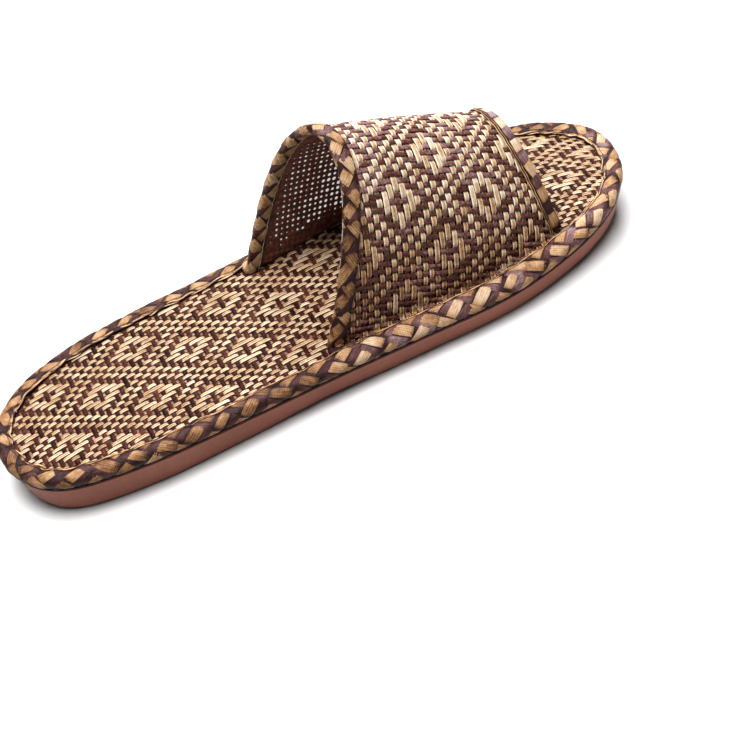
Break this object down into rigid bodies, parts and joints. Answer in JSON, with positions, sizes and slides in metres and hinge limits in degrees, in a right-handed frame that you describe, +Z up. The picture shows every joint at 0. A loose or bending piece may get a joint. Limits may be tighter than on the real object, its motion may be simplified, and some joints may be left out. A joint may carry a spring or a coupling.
{
  "type": "rattan slipper",
  "caption": "Left slide slipper: moulded sole, footbed of woven rattan-look strips, braided tape round the rim, and a wide woven strap, open at heel and toe, bound with the same tape.",
  "frame": {"origin": "middle of the slipper's bounding box, on the floor that it stands on", "axes": "+X to the toe, +Y to the outer side of the foot, +Z up"},
  "size_m": [0.272, 0.0924, 0.0896],
  "materials": {
    "sole_foam": "matte, finely grained side wall",
    "woven_mat": "satin, light flat strips over dark glossy yarns",
    "braided_tape": "satin, tan and dark brown braid",
    "mesh_lining": "matte, perforated",
    "sewing_thread": "satin"
  },
  "bodies": {
    "root": {"sole": "sole_foam", "insole": "woven_mat", "rim_binding": "braided_tape", "upper": "woven_mat", "back_binding": "braided_tape", "front_binding": "braided_tape"}
  },
  "joints": []
}
